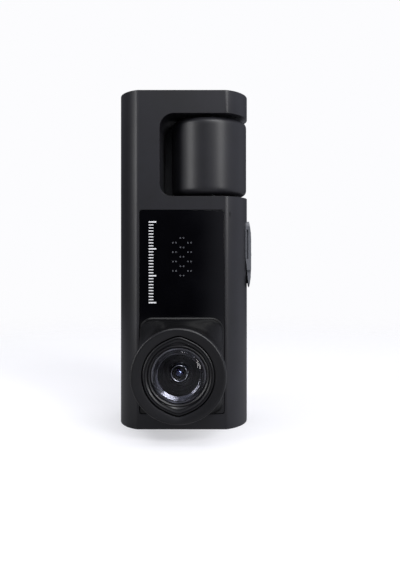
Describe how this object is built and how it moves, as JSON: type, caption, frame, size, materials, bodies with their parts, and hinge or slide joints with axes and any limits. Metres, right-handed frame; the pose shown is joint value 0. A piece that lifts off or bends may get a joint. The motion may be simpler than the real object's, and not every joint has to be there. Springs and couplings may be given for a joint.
{
  "type": "dash camera",
  "caption": "Slim upright dash camera: round road lens pod on a gloss fascia, turning cylindrical cabin camera in a side bay, screen and keys on the back.",
  "frame": {"origin": "middle of the flat bottom end of the housing", "axes": "+Z along the housing from the road lens towards the cabin camera, -Y the way the road lens looks, +X the side with the mount shoe"},
  "size_m": [0.0439, 0.0436, 0.108],
  "materials": {
    "housing_plastic": "fine satin texture",
    "fascia_acrylic": "polished",
    "ring_metal": "black satin anodised",
    "lens_glass": "coated optical glass",
    "circuit_board": "solder resist",
    "black_component": "moulded",
    "bright_steel": "plain",
    "key_rubber": "matt",
    "screen_glass": "polished"
  },
  "bodies": {
    "housing": {"front_shell": "housing_plastic", "rear_cover": "housing_plastic", "lens_pod": "housing_plastic", "lens_barrel": "housing_plastic", "lens_cone": "housing_plastic", "lens_spacer": "housing_plastic", "front_panel": "fascia_acrylic", "lens_ring": "ring_metal", "lens_bezel": "ring_metal", "mount_shoe": "ring_metal", "front_lens": "lens_glass", "inner_lens": "lens_glass", "rear_lens": "lens_glass", "infrared_filter": "lens_glass", "road_sensor_board": "circuit_board", "main_board": "circuit_board", "key_board": "circuit_board", "cabin_flex": "circuit_board", "road_image_sensor": "black_component", "processor": "black_component", "wireless_antenna": "black_component", "supercapacitor_1": "black_component", "supercapacitor_2": "black_component", "speaker": "black_component", "memory_card": "black_component", "screen_module": "black_component", "cover_screw_lower_left": "bright_steel", "cover_screw_lower_right": "bright_steel", "cover_screw_upper_left": "bright_steel", "cover_screw_upper_right": "bright_steel", "friction_washer": "bright_steel", "pivot_pin": "bright_steel", "board_screw_upper": "bright_steel", "board_screw_lower": "bright_steel", "shield_can": "bright_steel", "microphone": "bright_steel", "heat_spreader": "bright_steel", "usb_socket": "bright_steel", "memory_card_socket": "bright_steel", "shoe_screw_lower": "bright_steel", "shoe_screw_upper": "bright_steel", "latch_spring": "bright_steel", "screen_window": "screen_glass"},
    "cabin_drum": {"drum_shell": "housing_plastic", "drum_base": "housing_plastic", "drum_bush": "bright_steel", "retaining_ring": "bright_steel", "cabin_bezel": "ring_metal", "cabin_lens": "lens_glass", "cabin_barrel": "housing_plastic", "cabin_image_sensor": "black_component", "cabin_sensor_board": "circuit_board", "infrared_led_left": "lens_glass", "infrared_led_right": "lens_glass"},
    "latch": {"latch_button": "housing_plastic"},
    "key_power": {"key_power": "key_rubber"},
    "key_menu": {"key_menu": "key_rubber"},
    "key_up": {"key_up": "key_rubber"},
    "key_down": {"key_down": "key_rubber"}
  },
  "joints": [
    {"name": "drum_turn", "type": "hinge", "parent": "housing", "child": "cabin_drum", "pos_m": [0.00845, 0, 0.08745], "axis": [0, 0, 1], "range_deg": [-180, 30]},
    {"name": "latch_press", "type": "slide", "parent": "housing", "child": "latch", "axis": [1, 0, 0], "range_m": [-0.0007, 0], "stiffness_N_per_m": 800, "springref_m": 0.0002},
    {"name": "key_power_press", "type": "slide", "parent": "housing", "child": "key_power", "axis": [0, 1, 0], "range_m": [-0.0004, 0], "stiffness_N_per_m": 1500, "springref_m": 0.0001},
    {"name": "key_menu_press", "type": "slide", "parent": "housing", "child": "key_menu", "axis": [0, 1, 0], "range_m": [-0.0004, 0], "stiffness_N_per_m": 1500, "springref_m": 0.0001},
    {"name": "key_up_press", "type": "slide", "parent": "housing", "child": "key_up", "axis": [0, 1, 0], "range_m": [-0.0004, 0], "stiffness_N_per_m": 1500, "springref_m": 0.0001},
    {"name": "key_down_press", "type": "slide", "parent": "housing", "child": "key_down", "axis": [0, 1, 0], "range_m": [-0.0004, 0], "stiffness_N_per_m": 1500, "springref_m": 0.0001}
  ]
}
